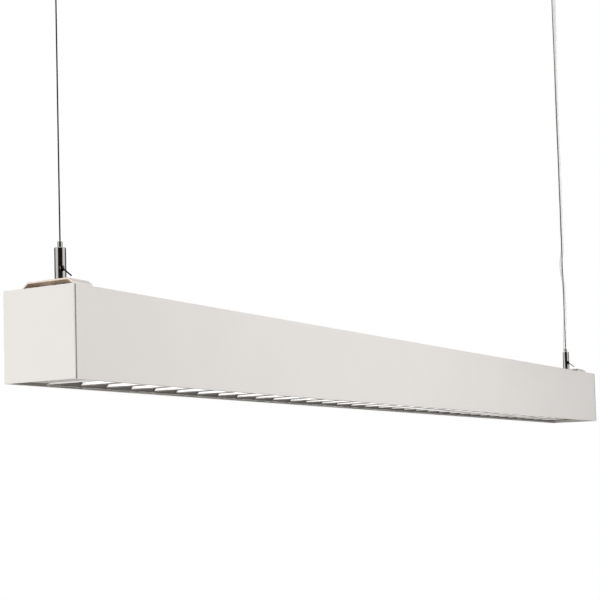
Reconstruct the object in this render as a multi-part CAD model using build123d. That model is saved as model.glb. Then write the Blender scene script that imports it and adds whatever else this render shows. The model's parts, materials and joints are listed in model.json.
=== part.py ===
from build123d import *
import math
import os

# Linear pendant light for one tubular lamp, hung from the ceiling on two steel wires.
# Millimetres. X runs along the light, Y across it, Z up. The origin lies on the ceiling,
# midway between the two ceiling screws.

# Lamp
lamp_face_length = 1449.0
lamp_diameter = 16.0
lamp_glass = 0.8
lamp_cap_length = 12.0
lamp_pin_radius = 1.18
lamp_pin_length = 7.0
lamp_pin_spacing = 4.75

# Housing: an extruded channel with its open side down, closed by two end caps
lamp_end_room = 25.5
housing_width = 85.0
housing_height = 88.0
housing_wall = 1.5
housing_edge_radius = 1.2
lip_width = 5.0
lip_height = 3.0
ledge_width = 2.5
end_cap_thickness = 1.6
end_cap_edge = 0.4
end_cap_joint = 1.8
end_cap_joint_depth = 1.0
end_cap_lug = 8.0
end_cap_lug_depth = 10.0
end_cap_lug_inset = 12.0

# Covers over the lampholders, in the underside at each end
end_cover_length = 54.0
end_cover_recess = 3.2
end_cover_sheet = 1.2
end_cover_tab = 8.0

# Louver: two side reflectors with cross blades between them
louver_recess = 1.8
louver_height = 22.0
louver_side_gap = 1.3
louver_end_gap = 0.6
louver_sheet = 0.8
louver_flange = 6.2
louver_top_inset = 20.0
louver_crown = 2.4
louver_end_plate = 1.0
louver_cells = 34
blade_sheet = 0.4
blade_edge = 1.6
blade_top_width = 9.0
blade_bulge = 1.1
blade_side_gap = 0.1
hinge_inset = 1.7
hinge_rise = 2.2
hinge_pin_radius = 1.5
hinge_pin_length = 3.0
catch_radius = 3.0
catch_length = 9.0
catch_across = 24.0
catch_height = 12.0
catch_tip_gap = 0.3

# Gear above the lamp
lamp_louver_gap = 3.2
lampholder_drop = 21.0
lampholder_radius = 11.5
lampholder_depth = 16.0
lampholder_floor = 6.0
rotor_radius = 8.2
rotor_gap = 0.3
lamp_to_holder = 0.5
pin_slot_width = 3.0
pin_slot_length = 10.0
tray_sheet = 1.0
tray_flange = 8.0
reflector_sheet = 0.8
reflector_top_width = 40.0
reflector_mouth_width = 62.0
reflector_louver_gap = 7.2
ballast_length = 360.0
ballast_width = 30.0
ballast_height = 21.0
ballast_ear = 12.0
ballast_ear_sheet = 1.5
ballast_centre = -120.0
terminal_length = 36.0
terminal_width = 18.0
terminal_height = 16.0
terminal_setback = 110.0
lead_radius = 1.2
lead_height = 9.0
lead_across = 8.0
lead_hole_radius = 2.6
lead_bend = 4.5
lead_straight = 20.0

# Suspension
ceiling_drop = 790.0
wire_setback = 33.0
wire_radius = 0.75
bracket_sheet = 1.5
bracket_length = 29.0
bracket_shift = 4.5
bracket_top_width = 48.2
bracket_base_width = 62.4
bracket_foot = 10.0
bracket_bend = 2.6
bracket_fold = 0.9
bracket_screw_tip = 1.2
washer_thickness = 1.0
washer_radius = 6.0
nut_height = 4.4
nut_across_flats = 10.0
stud_radius = 3.0
stud_tip_room = 1.4
screw_head_radius = 2.9
screw_head_height = 1.8
screw_radius = 1.9
screw_reach = 5.0

# Wire gripper
gripper_radius = 5.6
gripper_length = 33.0
gripper_chamfer = 0.6
gripper_floor = 17.3
gripper_cone_start = 22.8
gripper_cone_end = 29.8
chamber_radius = 4.0
chamber_throat = 2.9
plunger_radius = 2.4
plunger_rise = 6.0
plunger_gap = 0.15
wire_bore_gap = 0.25
jaw_gap = 0.3
jaw_slit = 0.5
jaw_height = 7.0
spring_wire_radius = 0.3
spring_mean_radius = 2.95
spring_turns = 3
spring_wire_sides = 6
duct_radius = 2.4
duct_heading = 238.0
duct_fall = 40.0
tail_in_duct = 9.0
tail_heading = 267.0
tail_fall = 37.0
tail_length = 13.4

# Ceiling fittings
fitting_base_thickness = 5.5
left_base_radius = 11.0
right_base_radius = 28.0
ceiling_hole_radius = 2.25
ceiling_countersink = 4.4
cap_wall = 2.0
cap_depth = 24.0
cap_ceiling_gap = 0.5
cap_fit = 0.1
stop_radius = 4.0
stop_centre_depth = 10.4
stop_seat_radius = 3.0
stop_seat_gap = 0.25
mouth_radius = 5.0
supply_block_length = 14.0
supply_block_width = 12.0
supply_block_height = 5.9

# Power cord, hanging loosely down the right-hand wire
cord_radius = 2.8
cord_mouth_radius = 5.4
cord_offset = 14.0
cord_top_gap = 0.6
gland_offset_x = 20.5
gland_offset_y = 9.2
gland_radius = 4.5
gland_tip_radius = 3.9
gland_rise = 28.0
gland_collar = 1.5
gland_collar_height = 2.0
gland_tail = 4.5
gland_bore_gap = 0.3
cord_in_gland = 10.0

fit_gap = 0.3
hole_gap = 0.2

# Sizes that follow from those above; heights are above the light's underside
housing_length = lamp_face_length + 2 * lamp_end_room
housing_half = housing_length / 2
cap_back = housing_half - end_cap_thickness
inner_half_length = cap_back - end_cap_joint
inner_half_width = housing_width / 2 - housing_wall
lip_inner = housing_width / 2 - lip_width
cover_inner = housing_half - end_cover_length
louver_half_width = lip_inner - louver_side_gap
louver_half_length = cover_inner - louver_end_gap
louver_top = louver_recess + louver_height
blade_pitch = 2 * (louver_half_length - louver_end_plate) / louver_cells
hinge_y = louver_half_width - hinge_inset
hinge_height = louver_recess + hinge_rise
lamp_height = louver_top + lamp_louver_gap + lamp_diameter / 2
lamp_half = lamp_face_length / 2
tray_height = lamp_height + lampholder_drop
tray_top = tray_height + tray_sheet
holder_face = lamp_half + lamp_to_holder
holder_recess = lampholder_depth - lampholder_floor
wire_x = housing_half - wire_setback
bracket_x = wire_x + bracket_shift
bracket_rise = bracket_sheet + washer_thickness + nut_height + stud_tip_room
gripper_seat = housing_height + bracket_rise
stud_length = bracket_rise - stud_tip_room / 2
gland_x = wire_x + gland_offset_x
gland_y = gland_offset_y
gland_top = housing_height + gland_rise
cord_x = wire_x + cord_offset
underside = -(ceiling_drop + housing_height)
plunger_bore = wire_radius + wire_bore_gap
spring_height = gripper_cone_start - jaw_gap - gripper_floor

sides = {"left": -1, "right": 1}


def section_solid(section, start, end):
    """A solid from a section drawn across the light (Y to the right, Z up)."""
    return extrude(Plane.YZ.offset(start) * section, end - start)


def lengthwise_solid(section, half_width):
    """A solid from a section drawn along the light (X to the right, Z up)."""
    return extrude(Plane.XZ * section, half_width, both=True)


def polygon(*points):
    return make_face(Polyline(*points, close=True))


def bent_sheet(line, thickness, side):
    """The section of a sheet folded along a line, on one side of it."""
    return make_face(offset(line, thickness, kind=Kind.INTERSECTION, side=side, closed=True).edges())


def upright(radius, bottom, top):
    """A cylinder along Z between two heights."""
    return Pos(0, 0, (bottom + top) / 2) * Cylinder(radius, top - bottom)


def lying(radius, start, end):
    """A cylinder along X between two places."""
    return Pos((start + end) / 2, 0, 0) * Rot(0, 90, 0) * Cylinder(radius, end - start)


def taper(bottom_radius, top_radius, bottom, top):
    """A cone along Z between two heights."""
    return Pos(0, 0, (bottom + top) / 2) * Cone(bottom_radius, top_radius, top - bottom)


def tube(route, radius, bends):
    """A round cord or wire along straight runs joined by arcs."""
    path = FilletPolyline(*route, radius=bends) if bends else Polyline(*route)
    start = Plane(origin=path @ 0, z_dir=path % 0)
    return sweep(start * Circle(radius), path=path)


def slanted(route_start, heading, fall, length):
    """The point that lies a length away, along a heading and falling by an angle."""
    level = length * math.cos(math.radians(fall))
    turn = math.radians(heading)
    drop = length * math.sin(math.radians(fall))
    return Vector(*route_start) + Vector(level * math.cos(turn), level * math.sin(turn), -drop)


def bend_radii(route):
    """The widest arcs that fit at a route's corners without meeting."""
    radii = []
    for before, here, after in zip(route, route[1:], route[2:]):
        turn = math.radians((here - before).get_angle(after - here))
        shorter = min((here - before).length, (after - here).length)
        radii.append(0.45 * shorter / math.tan(turn / 2))
    return radii


# Housing, end caps and end covers


def end_outline(inset):
    """The light's outline seen from its end, drawn in by an inset."""
    width = housing_width - 2 * inset
    outline = Pos(0, housing_height / 2) * Rectangle(width, housing_height - 2 * inset)
    return fillet(outline.vertices().group_by(Axis.Y)[-1], housing_edge_radius)


def housing():
    outline = end_outline(0)
    room_height = housing_height - housing_wall - lip_height
    room = Pos(0, lip_height + room_height / 2) * Rectangle(2 * inner_half_width, room_height)
    mouth = Pos(0, lip_height / 2) * Rectangle(2 * lip_inner, 2 * lip_height)
    section = outline - room - mouth
    ledge_centre = tray_height - housing_wall / 2
    for side in sides.values():
        ledge_y = side * (inner_half_width - ledge_width / 2)
        section += Pos(ledge_y, ledge_centre) * Rectangle(ledge_width, housing_wall)
    body = section_solid(section, -inner_half_length, inner_half_length)
    for side in sides.values():
        for foot in (-1, 1):
            place = Pos(side * bracket_x, foot * bracket_screw_y(), housing_height)
            body -= place * Cylinder(screw_radius + hole_gap, 4 * housing_wall)
    body -= Pos(gland_x, gland_y, housing_height) * Cylinder(gland_radius + hole_gap, 4 * housing_wall)
    return body


def end_cap(side):
    """Plate over the housing's end, set off from it by a shadow joint."""
    cap = section_solid(end_outline(0), *sorted((side * cap_back, side * housing_half)))
    face = cap.faces().sort_by(Axis.X)[-1 if side > 0 else 0]
    cap = fillet(face.edges(), end_cap_edge)
    joint = sorted((side * inner_half_length, side * cap_back))
    cap += section_solid(end_outline(end_cap_joint_depth), *joint)
    lug_y = inner_half_width - fit_gap - end_cap_lug / 2
    high = housing_height - housing_wall - fit_gap - end_cap_lug / 2
    low = end_cap_lug_inset + end_cap_lug / 2
    lug_x = side * (inner_half_length - end_cap_lug_depth / 2)
    for across in (-1, 1):
        for height in (high, low):
            cap += Pos(lug_x, across * lug_y, height) * Box(end_cap_lug_depth, end_cap_lug, end_cap_lug)
    return cap


def end_cover(side):
    """Recessed cover under a lampholder, with an apron that carries the louver's hinge and catch."""
    line = Polyline(
        (inner_half_length, end_cover_recess + end_cover_tab),
        (inner_half_length, end_cover_recess),
        (cover_inner, end_cover_recess),
        (cover_inner, louver_top),
    )
    fold = bent_sheet(line, end_cover_sheet, Side.RIGHT)
    apron_height = end_cover_recess - louver_recess
    apron_centre = (cover_inner + end_cover_sheet / 2, louver_recess + apron_height / 2)
    fold += Pos(*apron_centre) * Rectangle(end_cover_sheet, apron_height)
    cover = lengthwise_solid(fold, lip_inner - fit_gap)
    for y, height, radius in (
        (hinge_y, hinge_height, hinge_pin_radius),
        (-catch_across, catch_height, catch_radius),
    ):
        reach = end_cover_sheet * 3
        drill = lying(radius + hole_gap, cover_inner - reach, cover_inner + reach)
        cover -= Pos(0, y, height) * drill
    return cover if side > 0 else mirror(cover, Plane.YZ)


# Louver


def reflector_line(edge_gap):
    """Inside of the far side reflector, from its foot up to its top edge."""
    foot = louver_half_width - louver_flange - edge_gap
    top = louver_half_width - louver_top_inset - edge_gap
    middle = (foot + top) / 2 - louver_crown
    return ThreePointArc(
        (foot, louver_recess),
        (middle, louver_recess + louver_height / 2),
        (top, louver_top),
    )


def side_reflector(side):
    foot = louver_half_width - louver_flange
    flange = Line((louver_half_width, louver_recess), (foot, louver_recess))
    outline = bent_sheet(flange + reflector_line(0), louver_sheet, Side.RIGHT)
    half_length = louver_half_length - louver_end_plate
    sheet = section_solid(outline, -half_length, half_length)
    return sheet if side > 0 else mirror(sheet, Plane.XZ)


def blade_room():
    """Section of the space between the two side reflectors."""
    far = reflector_line(blade_side_gap)
    near = mirror(far, Plane.YZ)
    return make_face([far.edge(), Line(far @ 1, near @ 1), near.edge(), Line(near @ 0, far @ 0)])


def louver_blades():
    """A row of cross blades, each a sheet folded to a V with hollow-ground flanks."""
    edge = blade_edge / 2
    top = blade_top_width / 2
    middle = (edge + top) / 2 - blade_bulge
    half_way = louver_recess + louver_height / 2
    rise = ThreePointArc((edge, louver_recess), (middle, half_way), (top, louver_top))
    fall = ThreePointArc((-top, louver_top), (-middle, half_way), (-edge, louver_recess))
    fold = Line((-edge, louver_recess), (edge, louver_recess))
    section = bent_sheet(fall + fold + rise, blade_sheet, Side.LEFT)
    blank = lengthwise_solid(section, louver_half_width)
    blade = blank & section_solid(blade_room(), -blade_top_width, blade_top_width)
    first = -louver_half_length + louver_end_plate + blade_pitch
    return [Pos(first + number * blade_pitch, 0, 0) * blade for number in range(louver_cells - 1)]


def louver_end_plate_solid(side):
    top = louver_half_width - louver_top_inset + louver_sheet
    outline = polygon(
        (-louver_half_width, louver_recess),
        (louver_half_width, louver_recess),
        (louver_half_width, hinge_height + hinge_pin_radius),
        (top, louver_top),
        (-top, louver_top),
        (-louver_half_width, hinge_height + hinge_pin_radius),
    )
    ends = sorted((side * louver_half_length, side * (louver_half_length - louver_end_plate)))
    return section_solid(outline, *ends)


def hinge_pin(side):
    ends = sorted((side * louver_half_length, side * (louver_half_length + hinge_pin_length)))
    return Pos(0, hinge_y, hinge_height) * lying(hinge_pin_radius, *ends)


def louver_catch(side):
    """Ball catch in the end cover, facing the louver's end plate."""
    tip = louver_half_length + catch_tip_gap
    barrel = lying(catch_radius, cover_inner, tip + catch_length)
    collar = lying(catch_radius + 1, cover_inner + end_cover_sheet, cover_inner + 2 * end_cover_sheet)
    ball = lying(catch_radius / 2, tip, cover_inner)
    catch = Pos(0, -catch_across, catch_height) * (barrel + collar + ball)
    return catch if side > 0 else mirror(catch, Plane.YZ)


# Lamp and lampholders


def lamp_tube():
    half = lamp_half - lamp_cap_length
    glass = lying(lamp_diameter / 2, -half, half) - lying(lamp_diameter / 2 - lamp_glass, -half, half)
    return Pos(0, 0, lamp_height) * glass


def lamp_cap(side):
    ends = sorted((side * (lamp_half - lamp_cap_length), side * lamp_half))
    cap = lying(lamp_diameter / 2, *ends)
    rim = cap.edges().filter_by(GeomType.CIRCLE).sort_by(Axis.X)[-1 if side > 0 else 0]
    return Pos(0, 0, lamp_height) * fillet(rim, 2 * lamp_glass)


def lamp_pin(side, across):
    ends = sorted((side * lamp_half, side * (lamp_half + lamp_pin_length)))
    return Pos(0, across * lamp_pin_spacing / 2, lamp_height) * lying(lamp_pin_radius, *ends)


def lampholder_rotor(side):
    """Turning insert that grips the two pins; they lie level when the lamp is locked."""
    front = holder_face + rotor_gap / 2
    back = holder_face + holder_recess - rotor_gap
    rotor = lying(rotor_radius, front, back)
    depth = lamp_half + lamp_pin_length + hole_gap
    rotor -= Pos(depth - lampholder_depth / 2, 0, 0) * Box(lampholder_depth, pin_slot_length, pin_slot_width)
    rotor = Pos(0, 0, lamp_height) * rotor
    return rotor if side > 0 else mirror(rotor, Plane.YZ)


def lampholder(side):
    neck = Pos(0, lamp_height + lampholder_drop / 2) * Rectangle(2 * lampholder_radius, lampholder_drop)
    outline = neck + Pos(0, lamp_height) * Circle(lampholder_radius)
    body = section_solid(outline, holder_face, holder_face + lampholder_depth)
    recess_end = holder_face + holder_recess
    body -= Pos(0, 0, lamp_height) * lying(rotor_radius + rotor_gap, holder_face, recess_end)
    entry_height = lampholder_radius
    entry = Box(holder_recess, pin_slot_width, entry_height)
    body -= Pos(holder_face + holder_recess / 2, 0, lamp_height - entry_height / 2) * entry
    return body if side > 0 else mirror(body, Plane.YZ)


# Gear tray and what it carries


def tray_screw_places():
    reach = ballast_length / 2 + ballast_ear / 2
    return [(ballast_centre - reach, 0), (ballast_centre + reach, 0)]


def gear_tray():
    half = inner_half_width - fit_gap
    line = Polyline(
        (-half, tray_height + tray_flange),
        (-half, tray_height),
        (half, tray_height),
        (half, tray_height + tray_flange),
    )
    reach = inner_half_length - fit_gap
    tray = section_solid(bent_sheet(line, tray_sheet, Side.LEFT), -reach, reach)
    for x, y in (left_lead_drop(), right_lead_drop()):
        tray -= Pos(x, y, tray_height) * Cylinder(lead_hole_radius, 4 * tray_sheet)
    for x, y in tray_screw_places():
        tray -= Pos(x, y, tray_height) * Cylinder(screw_radius + hole_gap, 4 * tray_sheet)
    return tray


def upper_reflector():
    mouth = louver_top + reflector_louver_gap
    line = Polyline(
        (-reflector_mouth_width / 2, mouth),
        (-reflector_top_width / 2, tray_height),
        (reflector_top_width / 2, tray_height),
        (reflector_mouth_width / 2, mouth),
    )
    reach = holder_face - fit_gap
    sheet = section_solid(bent_sheet(line, reflector_sheet, Side.RIGHT), -reach, reach)
    for x, y in tray_screw_places():
        sheet -= Pos(x, y, tray_height) * Cylinder(screw_radius + hole_gap, 4 * reflector_sheet)
    return sheet


def ballast():
    box = Pos(0, 0, ballast_height / 2) * Box(ballast_length, ballast_width, ballast_height)
    box = chamfer(box.edges().filter_by(Axis.X).group_by(Axis.Z)[-1], ballast_ear_sheet)
    ear_length = ballast_length + 2 * ballast_ear
    ears = Pos(0, 0, ballast_ear_sheet / 2) * Box(ear_length, ballast_width, ballast_ear_sheet)
    body = Pos(ballast_centre, 0, tray_top) * (box + ears)
    for x, y in tray_screw_places():
        body -= Pos(x, y, tray_top) * Cylinder(screw_radius + hole_gap, 4 * ballast_ear_sheet)
    return body


def terminal_block():
    block = Pos(0, 0, terminal_height / 2) * Box(terminal_length, terminal_width, terminal_height)
    poles = 3
    for pole in range(poles):
        x = (pole - (poles - 1) / 2) * terminal_length / poles
        block -= Pos(x, 0, terminal_height) * Cylinder(screw_radius, terminal_height)
    return Pos(terminal_x(), 0, tray_top) * block


def terminal_x():
    return housing_half - terminal_setback


def left_lead_drop():
    return (-(holder_face + lampholder_depth / 2), lead_across)


def right_lead_drop():
    return (holder_face + lampholder_depth / 2, -lead_across)


def left_leads():
    drop_x, drop_y = left_lead_drop()
    height = tray_top + lead_height
    start = ballast_centre - ballast_length / 2
    route = [(start, drop_y, height), (drop_x, drop_y, height), (drop_x, drop_y, tray_height)]
    return tube(route, lead_radius, lead_bend)


def right_leads():
    """Lamp leads from the ballast, past the terminal block, down into the right lampholder."""
    drop_x, drop_y = right_lead_drop()
    height = tray_top + lead_height
    start = ballast_centre + ballast_length / 2
    past = -(terminal_width / 2 + 3 * lead_radius)
    block_end = terminal_x() + terminal_length / 2
    route = [
        (start, past, height),
        (block_end, past, height),
        (drop_x, drop_y, height),
        (drop_x, drop_y, tray_height),
    ]
    return tube(route, lead_radius, lead_bend)


def mains_leads():
    height = tray_top + terminal_height / 2
    start = ballast_centre + ballast_length / 2
    end = terminal_x() - terminal_length / 2
    return Pos(0, 0, height) * lying(lead_radius, start, end)


def supply_leads():
    """Cord core inside the housing, from the gland to the terminal block."""
    gland_end = housing_height - housing_wall - gland_tail
    block_end = terminal_x() + terminal_length / 2
    height = tray_top + terminal_height / 2
    route = [
        (gland_x, gland_y, gland_end),
        (gland_x, gland_y, height),
        (block_end + lead_straight, 0, height),
        (block_end, 0, height),
    ]
    return tube(route, lead_radius, lead_bend)


def screw(reach):
    """Pan-head screw, its head above Z = 0."""
    head = upright(screw_head_radius, 0, screw_head_height)
    head = fillet(head.edges().group_by(Axis.Z)[-1], screw_head_height / 2)
    return head + upright(screw_radius, -reach, 0)


def gear_screws():
    reach = ballast_ear_sheet + tray_sheet + screw_reach
    head = tray_top + ballast_ear_sheet
    return [Pos(x, y, head) * screw(reach) for x, y in tray_screw_places()]


# Suspension brackets and wire grippers


def bracket_screw_y():
    return bracket_base_width / 2 - bracket_foot / 2


def suspension_bracket(side):
    """Sheet folded to a low bridge, with its two feet turned in; the right one clears the gland."""
    base = bracket_base_width / 2
    shoulder = bracket_rise - bracket_sheet
    line = FilletPolyline(
        (-base + bracket_foot, bracket_sheet),
        (-base, bracket_sheet),
        (-bracket_top_width / 2, shoulder),
        (bracket_top_width / 2, shoulder),
        (base, bracket_sheet),
        (base - bracket_foot, bracket_sheet),
        radius=[bracket_fold, bracket_bend, bracket_bend, bracket_fold],
    )
    half = bracket_length / 2
    bridge = section_solid(bent_sheet(line, bracket_sheet, Side.LEFT), -half, half)
    bridge -= Pos(-side * bracket_shift, 0, 0) * upright(stud_radius + hole_gap, bracket_sheet, bracket_rise)
    for across in (-1, 1):
        bridge -= Pos(0, across * bracket_screw_y(), 0) * upright(screw_radius + hole_gap, 0, bracket_sheet)
    bridge = Pos(side * bracket_x, 0, housing_height) * bridge
    if side > 0:
        bridge -= Pos(gland_x, gland_y, 0) * upright(gland_radius + fit_gap, housing_height, gripper_seat)
    return bridge


def bracket_screws():
    """Screws put in from inside the housing, up into the brackets' feet."""
    reach = housing_wall + bracket_sheet + bracket_screw_tip
    head = housing_height - housing_wall
    places = [(side * bracket_x, across * bracket_screw_y()) for side in sides.values() for across in (-1, 1)]
    return [Pos(x, y, head) * Rot(180, 0, 0) * screw(reach) for x, y in places]


def at_gripper(side):
    return Pos(side * wire_x, 0, gripper_seat)


def gripper_body(side):
    """Turned body: a tapering chamber for the jaws, and a duct that lets the wire out sideways."""
    body = upright(gripper_radius, 0, gripper_length)
    body = chamfer(body.edges().filter_by(GeomType.CIRCLE), gripper_chamfer)
    body += upright(stud_radius, -stud_length, 0)
    body -= upright(chamber_radius, gripper_floor, gripper_cone_start)
    body -= taper(chamber_radius, chamber_throat, gripper_cone_start, gripper_cone_end)
    body -= upright(plunger_radius + plunger_gap, gripper_cone_end, gripper_length)
    start = Vector(0, 0, gripper_floor)
    out = slanted(start, duct_heading, duct_fall, 3 * gripper_radius) - start
    body -= extrude(Plane(origin=start, z_dir=out) * Circle(duct_radius), out.length)
    return at_gripper(side) * body


def gripper_jaws(side):
    """Three-way split cone that bites on the wire when it is pulled up."""
    top = gripper_cone_end - jaw_gap
    bottom = top - jaw_height
    jaws = taper(chamber_radius - jaw_gap, chamber_throat - jaw_gap, bottom, top)
    jaws -= upright(plunger_bore, bottom, top)
    slit_height = jaw_height - 2 * jaw_gap
    for turn in (0, 120, 240):
        slit = Box(chamber_radius, jaw_slit, slit_height, align=(Align.MIN, Align.CENTER, Align.MIN))
        jaws -= Pos(0, 0, bottom) * Rot(0, 0, turn) * slit
    return at_gripper(side) * jaws


def gripper_plunger(side):
    """Release button: a tube round the wire that pushes the jaws off it."""
    bottom = gripper_cone_end - jaw_gap
    top = gripper_length + plunger_rise
    button = upright(plunger_radius, bottom, top)
    button = chamfer(button.edges().group_by(Axis.Z)[-1], gripper_chamfer / 2)
    return at_gripper(side) * (button - upright(plunger_bore, bottom, top))


def helix_point(radius, pitch, turn):
    angle = 2 * math.pi * turn
    return Vector(radius * math.cos(angle), radius * math.sin(angle), pitch * turn)


def helix_tangent(radius, pitch, turn):
    angle = 2 * math.pi * turn
    around = 2 * math.pi * radius
    return Vector(-around * math.sin(angle), around * math.cos(angle), pitch).normalized()


def biarc(start, start_way, end, end_way):
    """Two arcs that meet smoothly and leave two points in given directions."""
    span = end - start
    ways = start_way + end_way
    a = 2 * (1 - start_way.dot(end_way))
    b = span.dot(ways)
    reach = (-b + math.sqrt(b * b + a * span.dot(span))) / a
    first_corner = start + start_way * reach
    second_corner = end - end_way * reach
    middle = (first_corner + second_corner) / 2
    return [
        TangentArc(start, middle, tangent=start_way),
        TangentArc(middle, end, tangent=second_corner - first_corner),
    ]


def gripper_spring(side):
    """Coil spring under the jaws, one unbroken wire."""
    rise = spring_height - 2 * spring_wire_radius - 2 * jaw_gap
    pitch = rise / spring_turns
    stations = [half / 2 for half in range(2 * spring_turns + 1)]
    arcs = []
    for here, there in zip(stations, stations[1:]):
        arcs += biarc(
            helix_point(spring_mean_radius, pitch, here),
            helix_tangent(spring_mean_radius, pitch, here),
            helix_point(spring_mean_radius, pitch, there),
            helix_tangent(spring_mean_radius, pitch, there),
        )
    path = Wire([arc.edge() for arc in arcs])
    start = Plane(origin=path @ 0, z_dir=path % 0)
    coil = sweep(start * RegularPolygon(spring_wire_radius, spring_wire_sides), path=path)
    print("spring", "gap between turns", round(pitch - 2 * spring_wire_radius, 2))
    foot = gripper_floor + jaw_gap + spring_wire_radius
    return at_gripper(side) * Pos(0, 0, foot) * coil


def gripper_washer(side):
    top = -bracket_sheet
    ring = upright(washer_radius, top - washer_thickness, top)
    return at_gripper(side) * (ring - upright(stud_radius + hole_gap, top - washer_thickness, top))


def gripper_nut(side):
    top = -bracket_sheet - washer_thickness
    corner = nut_across_flats / 2 / math.cos(math.pi / 6)
    nut = extrude(Pos(0, 0, top - nut_height) * RegularPolygon(corner, 6), nut_height)
    return at_gripper(side) * (nut - upright(stud_radius + plunger_gap, top - nut_height, top))


def wire_tail(side):
    """Cut end of the wire, turned out through the gripper's duct."""
    run = spring_height - wire_radius
    bend = Vector(0, 0, gripper_floor + wire_radius)
    start = bend + Vector(0, 0, run)
    mouth = slanted(bend, duct_heading, duct_fall, tail_in_duct)
    end = slanted(mouth, tail_heading, tail_fall, tail_length)
    route = [start, bend, mouth, end]
    return at_gripper(side) * tube(route, wire_radius, bend_radii(route))


def wire(side):
    """Straight wire from its ball stop at the ceiling down into the gripper."""
    bottom = underside + gripper_seat + gripper_floor + spring_height
    return Pos(side * wire_x, 0, 0) * upright(wire_radius, bottom, -stop_centre_depth)


# Ceiling fittings


def wire_stop(side):
    """Ball pressed on the wire's upper end."""
    ball = Pos(0, 0, -stop_centre_depth) * Sphere(stop_radius)
    bottom = -stop_centre_depth - stop_radius
    ball -= upright(wire_radius, bottom, -stop_centre_depth)
    return Pos(side * wire_x, 0, 0) * ball


def ceiling_base(side):
    radius = right_base_radius if side > 0 else left_base_radius
    disc = upright(radius, -fitting_base_thickness, 0)
    disc -= upright(ceiling_hole_radius, -fitting_base_thickness, 0)
    sink_top = ceiling_countersink - ceiling_hole_radius - fitting_base_thickness
    disc -= taper(ceiling_countersink, ceiling_hole_radius, -fitting_base_thickness, sink_top)
    return Pos(side * wire_x, 0, 0) * disc


def ceiling_cap(side):
    """Cup over the base; the ball stop hangs in its conical mouth."""
    radius = right_base_radius if side > 0 else left_base_radius
    bore = radius + cap_fit
    outer = bore + cap_wall
    cup = upright(outer, -cap_depth, -cap_ceiling_gap)
    cup = fillet(cup.edges().group_by(Axis.Z)[0], cap_wall)
    seat_drop = math.sqrt(stop_radius**2 - stop_seat_radius**2) + stop_seat_gap
    seat = -stop_centre_depth - seat_drop
    floor = -cap_depth + cap_wall
    cup -= upright(bore, floor, -cap_ceiling_gap)
    boss_radius = stop_seat_radius + 2 * cap_wall
    cup += upright(boss_radius, floor, seat)
    cup -= taper(mouth_radius, stop_seat_radius, -cap_depth, seat)
    if side > 0:
        cup -= Pos(cord_offset, 0, 0) * upright(cord_mouth_radius, -cap_depth, floor)
    return Pos(side * wire_x, 0, 0) * cup


def supply_block():
    """Mains connector under the right-hand base, where the cord ends."""
    box = Box(supply_block_length, supply_block_width, supply_block_height)
    return Pos(cord_x, 0, -fitting_base_thickness - supply_block_height / 2) * box


# Power cord and its gland


def cord_gland():
    """Bush through the housing's top beside the bracket, with a tapered sleeve above."""
    web = housing_height - housing_wall
    collar = housing_height + gland_collar_height
    shank = upright(gland_radius, web - gland_tail, collar)
    shank += upright(gland_radius + gland_collar, web - gland_collar_height, web)
    shank += upright(gland_radius + gland_collar, housing_height, collar)
    shank += taper(gland_radius, gland_tip_radius, collar, gland_top)
    shank -= upright(cord_radius + gland_bore_gap, web, gland_top)
    shank -= upright(lead_radius, web - gland_tail, web)
    return Pos(gland_x, gland_y, 0) * shank


def cord_route():
    """Points from the ceiling connector down to the gland, each as offsets from the wire."""
    top = -fitting_base_thickness - supply_block_height - cord_top_gap
    bottom = underside + gland_top - cord_in_gland
    offsets = [
        (cord_offset, 0, top),
        (13.8, 0.2, -50),
        (12.1, 0.1, -100),
        (9.4, 0.1, -155),
        (7.0, 0.3, -210),
        (5.8, 0.4, -262),
        (5.3, 0.6, -312),
        (5.5, 0.2, -360),
        (5.6, -0.1, -408),
        (5.3, 0.5, -450),
        (5.6, 0.0, -482),
        (5.0, 1.0, -515),
        (5.7, -0.2, -548),
        (4.7, 1.5, -566),
        (2.9, 4.4, -584),
        (3.9, 2.9, -603),
        (5.6, 0.3, -622),
        (6.9, 0.5, -650),
        (10.1, 2.5, -684),
        (15.1, 5.8, -712),
        (gland_offset_x, gland_offset_y, -742),
        (gland_offset_x, gland_offset_y, bottom),
    ]
    return [Vector(wire_x + x, y, z) for x, y, z in offsets]


def power_cord():
    route = cord_route()
    radii = bend_radii(route)
    path = FilletPolyline(*route, radius=radii)
    start = Plane(origin=path @ 0, z_dir=path % 0)
    cord = sweep(start * Circle(cord_radius), path=path)
    expected = math.pi * cord_radius**2 * path.length
    print("cord length", round(path.length, 1), "radii", [round(radius) for radius in radii])
    print("cord volume over section times length", round(cord.volume / expected, 4))
    return cord


def pairs(make):
    return [make(side) for side in sides.values()]


at_light = Pos(0, 0, underside)
light = {
    "housing": housing(),
    "upper_reflector": upper_reflector(),
    "gear_tray": gear_tray(),
    "ballast": ballast(),
    "terminal_block": terminal_block(),
    "gear_screws": gear_screws(),
    "left_lamp_leads": left_leads(),
    "right_lamp_leads": right_leads(),
    "mains_leads": mains_leads(),
    "supply_leads": supply_leads(),
    "cord_gland": cord_gland(),
    "bracket_screws": bracket_screws(),
    "gripper_washers": pairs(gripper_washer),
    "gripper_nuts": pairs(gripper_nut),
    "louver_far_reflector": side_reflector(1),
    "louver_near_reflector": side_reflector(-1),
    "louver_blades": louver_blades(),
    "louver_end_plates": pairs(louver_end_plate_solid),
    "louver_hinge_pins": pairs(hinge_pin),
    "louver_catches": pairs(louver_catch),
    "lamp_tube": lamp_tube(),
    "lamp_caps": pairs(lamp_cap),
    "lamp_pins": [lamp_pin(side, across) for side in sides.values() for across in (-1, 1)],
}
ceiling = {"supply_block": supply_block(), "power_cord": power_cord()}
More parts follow.
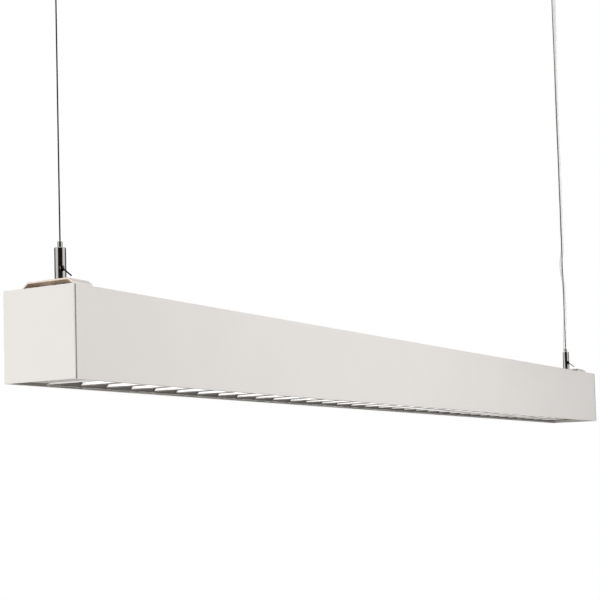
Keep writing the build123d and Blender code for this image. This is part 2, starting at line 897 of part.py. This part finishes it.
for name, side in sides.items():
    light[f"{name}_end_cap"] = end_cap(side)
    light[f"{name}_end_cover"] = end_cover(side)
    light[f"{name}_lampholder"] = lampholder(side)
    light[f"{name}_rotor"] = lampholder_rotor(side)
    light[f"{name}_suspension_bracket"] = suspension_bracket(side)
    light[f"{name}_gripper_body"] = gripper_body(side)
    light[f"{name}_gripper_jaws"] = gripper_jaws(side)
    light[f"{name}_gripper_plunger"] = gripper_plunger(side)
    light[f"{name}_gripper_spring"] = gripper_spring(side)
    light[f"{name}_wire_tail"] = wire_tail(side)
    ceiling[f"{name}_wire"] = wire(side)
    ceiling[f"{name}_wire_stop"] = wire_stop(side)
    ceiling[f"{name}_ceiling_base"] = ceiling_base(side)
    ceiling[f"{name}_ceiling_cap"] = ceiling_cap(side)

os.makedirs("parts", exist_ok=True)
for name, solid in light.items():
    pieces = solid if isinstance(solid, list) else [solid]
    export_step(Compound([at_light * piece for piece in pieces]), f"parts/{name}.step")
for name, solid in ceiling.items():
    export_step(Compound([solid]), f"parts/{name}.step")
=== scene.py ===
import json
import math

import bpy
from mathutils import Matrix, Vector


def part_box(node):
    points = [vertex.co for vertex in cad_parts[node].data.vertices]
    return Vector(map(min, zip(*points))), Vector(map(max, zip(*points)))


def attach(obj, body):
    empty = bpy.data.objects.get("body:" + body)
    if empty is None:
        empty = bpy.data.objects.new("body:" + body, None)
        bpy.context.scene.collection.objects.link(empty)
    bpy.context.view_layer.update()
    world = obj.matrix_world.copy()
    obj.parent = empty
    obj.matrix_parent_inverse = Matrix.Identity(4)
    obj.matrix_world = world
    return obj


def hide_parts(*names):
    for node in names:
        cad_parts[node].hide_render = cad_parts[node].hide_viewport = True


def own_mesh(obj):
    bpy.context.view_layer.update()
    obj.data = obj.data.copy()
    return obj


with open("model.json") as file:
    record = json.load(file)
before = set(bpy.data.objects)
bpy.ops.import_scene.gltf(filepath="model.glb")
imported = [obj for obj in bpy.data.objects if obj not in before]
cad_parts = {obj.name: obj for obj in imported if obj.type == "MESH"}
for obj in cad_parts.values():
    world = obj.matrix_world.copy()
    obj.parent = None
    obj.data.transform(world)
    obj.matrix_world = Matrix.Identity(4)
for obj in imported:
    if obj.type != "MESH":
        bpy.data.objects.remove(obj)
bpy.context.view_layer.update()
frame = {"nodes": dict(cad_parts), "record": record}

# Linear pendant light. Metres, in the frame of the CAD model: X along the light, Y across, Z up,
# origin on the ceiling midway between the two ceiling screws.
nodes = frame["nodes"]
sides = ("left", "right")
scene = bpy.context.scene
scene.view_settings.view_transform = "Standard"

# Camera, from the photograph's vanishing directions and the light's corners
camera_place = Vector((-1.72366, -0.84270, -0.97923))
camera_heading = math.radians(30.0997)
camera_pitch = math.radians(3.5475)
camera_roll = math.radians(-1.5828)
camera_sensor = 36.0
camera_lens = 82.318
camera_shift_up = 0.16477
quarter_turn = math.radians(90.0)

camera_data = bpy.data.cameras.new("camera")
camera_data.sensor_width = camera_sensor
camera_data.lens = camera_lens
camera_data.shift_y = camera_shift_up
camera = bpy.data.objects.new("camera", camera_data)
scene.collection.objects.link(camera)
camera.matrix_world = (
    Matrix.Translation(camera_place)
    @ Matrix.Rotation(camera_heading - quarter_turn, 4, "Z")
    @ Matrix.Rotation(quarter_turn + camera_pitch, 4, "X")
    @ Matrix.Rotation(camera_roll, 4, "Z")
)
scene.camera = camera


# Building blocks of the materials

even_grain = (1.0, 1.0, 1.0)
noise_low = 0.25
noise_high = 0.75
mottle_detail = 4.0
grain_detail = 2.0
glass_detail = 1.0


def new_material(name):
    made = bpy.data.materials.new(name)
    made.use_nodes = True
    tree = made.node_tree
    shader = tree.nodes["Principled BSDF"]
    return made, tree, shader


def noise(tree, scale, detail, stretch=even_grain):
    """A noise texture in object coordinates; stretch divides the grain's length along each axis."""
    place = tree.nodes.new("ShaderNodeTexCoord")
    mapping = tree.nodes.new("ShaderNodeMapping")
    mapping.inputs["Scale"].default_value = stretch
    tree.links.new(place.outputs["Object"], mapping.inputs["Vector"])
    texture = tree.nodes.new("ShaderNodeTexNoise")
    texture.inputs["Scale"].default_value = scale
    texture.inputs["Detail"].default_value = detail
    tree.links.new(mapping.outputs["Vector"], texture.inputs["Vector"])
    return texture.outputs["Fac"]


def map_range(tree, value, start, end, low=0.0, high=1.0):
    """Goes from low to high as the value goes from start to end."""
    span = tree.nodes.new("ShaderNodeMapRange")
    span.inputs["From Min"].default_value = start
    span.inputs["From Max"].default_value = end
    span.inputs["To Min"].default_value = low
    span.inputs["To Max"].default_value = high
    tree.links.new(value, span.inputs["Value"])
    return span.outputs["Result"]


def two_colours(tree, value, dark, light, start=0.3, end=0.7):
    """Goes from the dark to the light colour as the value goes from start to end."""
    ramp = tree.nodes.new("ShaderNodeValToRGB")
    first, last = ramp.color_ramp.elements
    first.position = start
    first.color = (*dark, 1.0)
    last.position = end
    last.color = (*light, 1.0)
    tree.links.new(value, ramp.inputs["Fac"])
    return ramp.outputs["Color"]


def add_grain(tree, shader, grain, roughness, strength, depth):
    """Lets one grain set the roughness, from its lowest to its highest, and a bump of a depth in metres."""
    tree.links.new(map_range(tree, grain, noise_low, noise_high, *roughness), shader.inputs["Roughness"])
    bump = tree.nodes.new("ShaderNodeBump")
    bump.inputs["Strength"].default_value = strength
    bump.inputs["Distance"].default_value = depth
    tree.links.new(grain, bump.inputs["Height"])
    tree.links.new(bump.outputs["Normal"], shader.inputs["Normal"])


def surface(name, colour, mottle, mottle_scale, roughness, grain_scale, grain_depth, grain_strength=0.3,
            stretch=even_grain, metallic=0.0, specular=0.5, edge_tint=1.0):
    """A finish with a fine grain, whose colour drifts by the share mottle either way. edge_tint is how
    bright a metal gets at a low angle."""
    made, tree, shader = new_material(name)
    dark = [part * (1.0 - mottle) for part in colour]
    light = [min(1.0, part * (1.0 + mottle)) for part in colour]
    drift = noise(tree, mottle_scale, mottle_detail)
    tree.links.new(two_colours(tree, drift, dark, light), shader.inputs["Base Color"])
    grain = noise(tree, grain_scale, grain_detail, stretch)
    add_grain(tree, shader, grain, roughness, grain_strength, grain_depth)
    shader.inputs["Metallic"].default_value = metallic
    shader.inputs["Specular IOR Level"].default_value = specular
    shader.inputs["Specular Tint"].default_value = (edge_tint, edge_tint, edge_tint, 1.0)
    return made


def lamp_surface(name, colour, glow, drift, drift_scale, stretch, roughness, ripple_scale, ripple_depth,
                 ripple_strength, coat):
    """The lamp's glowing coat behind faintly rippled glass; its colour drifts by a share along the tube."""
    made, tree, shader = new_material(name)
    dark = [part * (1.0 - drift) for part in colour]
    shade = two_colours(tree, noise(tree, drift_scale, glass_detail, stretch), dark, colour)
    tree.links.new(shade, shader.inputs["Base Color"])
    tree.links.new(shade, shader.inputs["Emission Color"])
    shader.inputs["Emission Strength"].default_value = glow
    ripple = noise(tree, ripple_scale, glass_detail)
    add_grain(tree, shader, ripple, roughness, ripple_strength, ripple_depth)
    shader.inputs["Coat Weight"].default_value = coat
    return made


def second_colour(name, painted, colour, measure, start, end, either_way=False):
    """A copy of a finish that turns to another colour as a measure goes from start to end. The measure is a
    kind of node, its output and an axis; either_way takes it without its sign."""
    made = painted.copy()
    made.name = name
    tree = made.node_tree
    shader = tree.nodes["Principled BSDF"]
    paint = shader.inputs["Base Color"].links[0].from_socket
    kind, output, axis = measure
    parts = tree.nodes.new("ShaderNodeSeparateXYZ")
    tree.links.new(tree.nodes.new(kind).outputs[output], parts.inputs["Vector"])
    value = parts.outputs[axis]
    if either_way:
        size = tree.nodes.new("ShaderNodeMath")
        size.operation = "ABSOLUTE"
        tree.links.new(value, size.inputs[0])
        value = size.outputs["Value"]
    blend = tree.nodes.new("ShaderNodeMixRGB")
    blend.inputs["Color2"].default_value = (*colour, 1.0)
    tree.links.new(map_range(tree, value, start, end), blend.inputs["Fac"])
    tree.links.new(paint, blend.inputs["Color1"])
    tree.links.new(blend.outputs["Color"], shader.inputs["Base Color"])
    return made


# Finishes by material slot; the last four are for the wires, their tails, the floor and the cards
paint_white = (0.795, 0.771, 0.748)
along_light = (0.02, 1.0, 1.0)
upright_grain = (1.0, 1.0, 0.03)
finish_values = {
    "white_paint": dict(
        colour=paint_white, mottle=0.012, mottle_scale=9.0, roughness=(0.36, 0.50),
        grain_scale=1500.0, grain_depth=0.00006, grain_strength=0.25, specular=0.12),
    "white_reflector": dict(
        colour=(0.97, 0.97, 0.965), mottle=0.008, mottle_scale=14.0, roughness=(0.25, 0.36),
        grain_scale=900.0, grain_depth=0.00004),
    # Satin aluminium: a near-black base colour and a low edge tint, a painted dark reflection on the
    # louver's reflectors
    "satin_aluminium": dict(
        colour=(0.17, 0.16, 0.15), mottle=0.04, mottle_scale=24.0, roughness=(0.42, 0.54),
        grain_scale=900.0, grain_depth=0.00002, grain_strength=0.2, stretch=along_light,
        metallic=1.0, edge_tint=0.3),
    "polished_nickel": dict(
        colour=(0.54, 0.525, 0.505), mottle=0.03, mottle_scale=160.0, roughness=(0.08, 0.15),
        grain_scale=2600.0, grain_depth=0.00001, grain_strength=0.1, metallic=1.0),
    "steel": dict(
        colour=(0.47, 0.47, 0.46), mottle=0.08, mottle_scale=300.0, roughness=(0.22, 0.38),
        grain_scale=2400.0, grain_depth=0.00002, metallic=1.0),
    "brass": dict(
        colour=(0.66, 0.50, 0.22), mottle=0.06, mottle_scale=260.0, roughness=(0.20, 0.34),
        grain_scale=2000.0, grain_depth=0.00002, metallic=1.0),
    "lamp_cap_metal": dict(
        colour=(0.62, 0.63, 0.64), mottle=0.05, mottle_scale=220.0, roughness=(0.24, 0.36),
        grain_scale=1800.0, grain_depth=0.00002, stretch=along_light, metallic=1.0),
    "white_plastic": dict(
        colour=(0.78, 0.77, 0.75), mottle=0.02, mottle_scale=60.0, roughness=(0.30, 0.42),
        grain_scale=1400.0, grain_depth=0.00004),
    "ballast_case": dict(
        colour=(0.62, 0.63, 0.64), mottle=0.04, mottle_scale=40.0, roughness=(0.34, 0.48),
        grain_scale=1200.0, grain_depth=0.00004, metallic=0.6),
    "cord_sheath": dict(
        colour=(0.95, 0.945, 0.94), mottle=0.02, mottle_scale=120.0, roughness=(0.38, 0.52),
        grain_scale=1800.0, grain_depth=0.00005, stretch=upright_grain),
    "lead_insulation": dict(
        colour=(0.80, 0.79, 0.76), mottle=0.04, mottle_scale=160.0, roughness=(0.32, 0.46),
        grain_scale=1600.0, grain_depth=0.00003),
    # Wire ropes and tails: steel with a near-black base colour, a painted dark reflection
    "rope_steel": dict(
        colour=(0.015, 0.0147, 0.0143), mottle=0.10, mottle_scale=900.0, roughness=(0.25, 0.42),
        grain_scale=2400.0, grain_depth=0.00002, metallic=1.0, edge_tint=0.1),
    "tail_steel": dict(
        colour=(0.02, 0.0195, 0.019), mottle=0.10, mottle_scale=900.0, roughness=(0.25, 0.42),
        grain_scale=2400.0, grain_depth=0.00002, metallic=1.0, edge_tint=0.3),
    "floor": dict(
        colour=(0.78, 0.76, 0.73), mottle=0.02, mottle_scale=3.0, roughness=(0.6, 0.75),
        grain_scale=60.0, grain_depth=0.0002),
    "card": dict(
        colour=(0.035, 0.033, 0.031), mottle=0.1, mottle_scale=3.0, roughness=(0.8, 0.9),
        grain_scale=40.0, grain_depth=0.0002, specular=0.1),
}
finishes = {name: surface(name, **values) for name, values in finish_values.items()}
finishes["lamp_glass"] = lamp_surface(
    "lamp_glass", colour=(0.95, 0.95, 0.93), glow=6.0, drift=0.04, drift_scale=4.0, stretch=(1.0, 0.1, 0.1),
    roughness=(0.10, 0.14), ripple_scale=60.0, ripple_depth=0.00002, ripple_strength=0.1, coat=0.5)
for subpart in frame["record"]["subparts"]:
    held = nodes[subpart["node"]]
    held.data.materials.clear()
    held.data.materials.append(finishes[subpart["material_slot"]])

# Second colours that some pieces have
normal_x = ("ShaderNodeNewGeometry", "Normal", "X")
normal_z = ("ShaderNodeNewGeometry", "Normal", "Z")
length_on_piece = ("ShaderNodeTexCoord", "Object", "X")
breadth_on_piece = ("ShaderNodeTexCoord", "Object", "Y")
height_on_piece = ("ShaderNodeTexCoord", "Object", "Z")


def corner_on_piece(name, which):
    """A node's lowest (0) or highest (1) corner, in its own object coordinates."""
    return nodes[name].matrix_world.inverted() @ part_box(name)[which]


# Louver: painted shade, a near-black colour along the blades' lower edges and at the end plates' feet
painted_foot_shade = (0.10, 0.095, 0.085)
blade_shade_height = 0.0011
plate_shade_height = 0.006
foot_start = 1.5
foot_end = 0.5
fold_level = corner_on_piece("louver_blades", 0).z


def shade_at_foot(name, height):
    """White enamel that turns to a painted shade, near black, below about a height above the louver's
    lowest level.
    """
    return second_colour(name, finishes["white_reflector"], painted_foot_shade, height_on_piece,
                         fold_level + foot_start * height, fold_level + foot_end * height)


nodes["louver_blades"].data.materials[0] = shade_at_foot("blade_enamel_with_painted_shade", blade_shade_height)
nodes["louver_end_plates"].data.materials[0] = shade_at_foot("end_plate_enamel_with_painted_shade", plate_shade_height)

# Left bracket: painted warm shade, a tan on the faces that look down, and painted warm light, a paler tan
# on the sheet's edges
painted_warm_shade = (0.80, 0.64, 0.50)
painted_warm_edge_light = (0.80, 0.70, 0.60)
under_start = -0.15
under_end = -0.35
edge_start = 0.80
edge_end = 0.95
bracket_painted_shade = second_colour("bracket_painted_shade", finishes["white_paint"], painted_warm_shade, normal_z,
                               under_start, under_end)
nodes["left_suspension_bracket"].data.materials[0] = second_colour(
    "bracket_painted_warm_light", bracket_painted_shade, painted_warm_edge_light, normal_x, edge_start, edge_end, either_way=True)

# Housing: painted shade, a grey inside the mouth, by the distance from its middle, and white paint on the
# top
painted_mouth_shade = (0.48, 0.465, 0.445)
mouth_shade_start = 0.0381
mouth_shade_full = 0.03762
top_start_depth = 0.001
top_end_depth = 0.0005
housing_top = corner_on_piece("housing", 1).z
housing_painted_shade = second_colour("housing_painted_shade", finishes["white_paint"], painted_mouth_shade, breadth_on_piece,
                               mouth_shade_start, mouth_shade_full, either_way=True)
nodes["housing"].data.materials[0] = second_colour(
    "housing_paint", housing_painted_shade, paint_white, height_on_piece,
    housing_top - top_start_depth, housing_top - top_end_depth)

# End caps: painted shade, a grey in the recessed joint behind the outer rim, by the depth from the cap's
# face. Wire tails: steel in a near-black colour, a painted dark reflection
painted_joint_shade = (0.45, 0.435, 0.42)
rim_end = 0.00135
joint_shade_start = 0.00165
for which, (side, inward) in enumerate(zip(sides, (1.0, -1.0))):
    face = corner_on_piece(side + "_end_cap", which).x
    nodes[side + "_end_cap"].data.materials[0] = second_colour(
        side + "_end_cap_paint", finishes["white_paint"], painted_joint_shade, length_on_piece,
        face + inward * rim_end, face + inward * joint_shade_start)
    nodes[side + "_wire_tail"].data.materials[0] = finishes["tail_steel"]


# Pieces made here

def mesh_piece(name, points, faces, smooth=True):
    mesh = bpy.data.meshes.new(name)
    mesh.from_pydata([tuple(p) for p in points], [], faces)
    mesh.update()
    for polygon in mesh.polygons:
        polygon.use_smooth = smooth
    piece = bpy.data.objects.new(name, mesh)
    scene.collection.objects.link(piece)
    return piece


def rectangle(name, half_width, half_height, level=0.0):
    corners = [(-half_width, -half_height, level), (half_width, -half_height, level),
               (half_width, half_height, level), (-half_width, half_height, level)]
    return mesh_piece(name, corners, [(0, 1, 2, 3)], smooth=False)


def ring_point(radius, angle):
    return radius * math.cos(angle), radius * math.sin(angle)


def tube_mesh(line, section):
    """Points and faces of a closed tube along line; section(share) gives a ring's points as (across, up)
    offsets in the plane square to the line, and share runs from 0 to 1 along the line."""
    last = len(line) - 1
    headings = [(line[min(i + 1, last)] - line[max(i - 1, 0)]).normalized() for i in range(len(line))]
    side = headings[0].orthogonal().normalized()
    points = []
    for i, (centre, ahead) in enumerate(zip(line, headings)):
        side = (side - ahead * side.dot(ahead)).normalized()
        up = ahead.cross(side)
        points += [centre + side * a + up * b for a, b in section(i / last)]
    count = len(points) // len(line)
    faces = []
    for i in range(last):
        for k in range(count):
            here = i * count + k
            there = i * count + (k + 1) % count
            faces.append((here, there, there + count, here + count))
    faces.append(tuple(reversed(range(count))))
    faces.append(tuple(range(len(points) - count, len(points))))
    return points, faces


# Suspension wires: six strands laid round a core
wire_radius = 0.00075
wire_core_radius = 0.00058
wire_strands = 6
wire_sides = 24
wire_lay = 0.009
wire_ring_step = 0.0009
wire_bottom = -0.7592
wire_top = -0.0104
wire_length = wire_top - wire_bottom


def strand_section(share):
    turn = math.tau * share * wire_length / wire_lay
    ring = []
    for k in range(wire_sides):
        angle = math.tau * k / wire_sides
        crown = abs(math.cos(wire_strands * angle / 2.0))
        radius = wire_core_radius + (wire_radius - wire_core_radius) * crown
        ring.append(ring_point(radius, angle + turn))
    return ring


def suspension_wire(side):
    low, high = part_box(side + "_wire")
    across = Vector(((low.x + high.x) / 2.0, (low.y + high.y) / 2.0, 0.0))
    rings = int(round(wire_length / wire_ring_step))
    line = [across + Vector((0.0, 0.0, wire_bottom + wire_length * i / rings)) for i in range(rings + 1)]
    wire = mesh_piece(side + "_wire_rope", *tube_mesh(line, strand_section))
    wire.data.materials.append(finishes["rope_steel"])
    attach(wire, "suspension")
    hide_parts(side + "_wire")
    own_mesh(wire)


for side in sides:
    suspension_wire(side)

# Power cord: hangs loosely beside the right-hand wire, from the ceiling fitting to the gland
wire_x = 0.717
cord_radius = 0.0028
cord_sides = 20
cord_steps = 12
cord_curve_order = 3
cord_route = [
    (0.0140, 0.0, -0.0120), (0.0138, 0.0002, -0.0500), (0.0121, 0.0001, -0.1000),
    (0.0094, 0.0001, -0.1550), (0.0070, 0.0003, -0.2100), (0.0058, 0.0004, -0.2620),
    (0.0053, 0.0006, -0.3120), (0.0055, 0.0002, -0.3600), (0.0056, -0.0001, -0.4080),
    (0.0053, 0.0005, -0.4500), (0.0056, 0.0, -0.4820), (0.0050, 0.0010, -0.5150),
    (0.0057, -0.0002, -0.5480), (0.0047, 0.0015, -0.5660), (0.0029, 0.0044, -0.5840),
    (0.0039, 0.0029, -0.6030), (0.0056, 0.0003, -0.6220), (0.0069, 0.0005, -0.6500),
    (0.0101, 0.0025, -0.6840), (0.0151, 0.0058, -0.7120), (0.0205, 0.0092, -0.7420),
    (0.0205, 0.0092, -0.7720),
]


def smooth_line(name, route):
    """Points along the NURBS curve that the route controls, from its first point to its last."""
    curve = bpy.data.curves.new(name, "CURVE")
    curve.dimensions = "3D"
    spline = curve.splines.new("NURBS")
    spline.points.add(len(route) - 1)
    for point, place in zip(spline.points, route):
        point.co = (*place, 1.0)
    spline.order_u = cord_curve_order
    spline.use_endpoint_u = True
    spline.resolution_u = cord_steps
    carrier = bpy.data.objects.new(name, curve)
    scene.collection.objects.link(carrier)
    bpy.context.view_layer.update()
    traced = bpy.data.meshes.new_from_object(carrier)
    line = [v.co.copy() for v in traced.vertices]
    bpy.data.objects.remove(carrier)
    bpy.data.curves.remove(curve)
    bpy.data.meshes.remove(traced)
    return line


cord_ring = [ring_point(cord_radius, math.tau * k / cord_sides) for k in range(cord_sides)]
cord_line = smooth_line("cord_route", [(wire_x + dx, y, z) for dx, y, z in cord_route])
cord = mesh_piece("power_cord_sheath", *tube_mesh(cord_line, lambda share: cord_ring))
cord.data.materials.append(finishes["cord_sheath"])
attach(cord, "suspension")
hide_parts("power_cord")
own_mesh(cord)


# Floor and world

def shown_rays(tree):
    """1 for rays that show the background: from the camera, off metal and through glass."""
    rays = tree.nodes.new("ShaderNodeLightPath")
    shown = rays.outputs["Is Camera Ray"]
    for kind in ("Is Glossy Ray", "Is Transmission Ray"):
        either = tree.nodes.new("ShaderNodeMath")
        either.operation = "MAXIMUM"
        tree.links.new(shown, either.inputs[0])
        tree.links.new(rays.outputs[kind], either.inputs[1])
        shown = either.outputs["Value"]
    return shown


def mix_shaders(tree, share, first, second, out):
    """Sends a mix of two shaders to the output node; share is the second one's part."""
    mixed = tree.nodes.new("ShaderNodeMixShader")
    tree.links.new(share, mixed.inputs["Fac"])
    tree.links.new(first, mixed.inputs[1])
    tree.links.new(second, mixed.inputs[2])
    tree.links.new(mixed.outputs["Shader"], out.inputs["Surface"])


floor_level = -5.0
floor_half = 3.0
floor_whiteness = 0.8
floor = rectangle("floor", floor_half, floor_half, floor_level)
floor.data.materials.append(finishes["floor"])
ground = finishes["floor"].node_tree
whitened = ground.nodes.new("ShaderNodeMath")
whitened.operation = "MULTIPLY"
whitened.inputs[1].default_value = floor_whiteness
ground.links.new(shown_rays(ground), whitened.inputs[0])
plain_white = ground.nodes.new("ShaderNodeEmission")
mix_shaders(ground, whitened.outputs["Value"], ground.nodes["Principled BSDF"].outputs["BSDF"],
            plain_white.outputs["Emission"], ground.nodes["Material Output"])

# White where the world is seen, and a soft fill elsewhere that is stronger from above
fill_below = (0.22, 0.21, 0.20)
fill_above = (0.44, 0.44, 0.45)
fill_start = 0.35
fill_end = 0.65
white = (1.0, 1.0, 1.0, 1.0)
world = bpy.data.worlds.new("studio")
scene.world = world
world.use_nodes = True
sky = world.node_tree
sky.nodes.clear()
direction = sky.nodes.new("ShaderNodeTexCoord")
parts = sky.nodes.new("ShaderNodeSeparateXYZ")
sky.links.new(direction.outputs["Generated"], parts.inputs["Vector"])
height = map_range(sky, parts.outputs["Z"], -1.0, 1.0)
fill = sky.nodes.new("ShaderNodeBackground")
sky.links.new(two_colours(sky, height, fill_below, fill_above, fill_start, fill_end), fill.inputs["Color"])
backdrop = sky.nodes.new("ShaderNodeBackground")
backdrop.inputs["Color"].default_value = white
mix_shaders(sky, shown_rays(sky), fill.outputs["Background"], backdrop.outputs["Background"],
            sky.nodes.new("ShaderNodeOutputWorld"))


# Studio lamps and dark cards

def aim(piece, place, target):
    piece.location = place
    piece.rotation_euler = (Vector(target) - Vector(place)).to_track_quat("-Z", "Y").to_euler()


def area_light(name, place, target, size, power, colour):
    """A soft round lamp that polished surfaces don't mirror."""
    data = bpy.data.lights.new(name, "AREA")
    data.shape = "DISK"
    data.size = size
    data.energy = power
    data.color = colour
    lamp = bpy.data.objects.new(name, data)
    scene.collection.objects.link(lamp)
    aim(lamp, place, target)
    lamp.visible_glossy = False


def dark_card(name, place, target, width, height):
    """A dark studio card that only polished surfaces show."""
    card = rectangle(name, width / 2.0, height / 2.0)
    aim(card, place, target)
    card.data.materials.append(finishes["card"])
    card.visible_camera = False
    card.visible_diffuse = False
    card.visible_transmission = False
    card.visible_shadow = False


area_light("key", place=(-0.2, -1.95, -0.45), target=(-0.2, 0.0, -0.83), size=0.9, power=24.5,
           colour=(1.0, 0.985, 0.965))
area_light("low_left", place=(-4.2, 0.7, -1.30), target=(-0.4, 0.0, -0.86), size=0.8, power=90.0,
           colour=(1.0, 0.99, 0.975))

# One card before and one behind each gripper, along the camera's line of sight
before_reach = 0.10
before_width = 0.20
behind_reach = 0.05
behind_width = 0.40
card_height = 0.07
card_foot = -0.776
for side in sides:
    low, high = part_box(side + "_gripper_body")
    middle = (low + high) / 2.0
    middle.z = card_foot + card_height / 2.0
    sight = middle - camera_place
    sight.z = 0.0
    sight.normalize()
    dark_card(side + "_card_before", middle - sight * before_reach, middle, before_width, card_height)
    dark_card(side + "_card_behind", middle + sight * behind_reach, middle, behind_width, card_height)
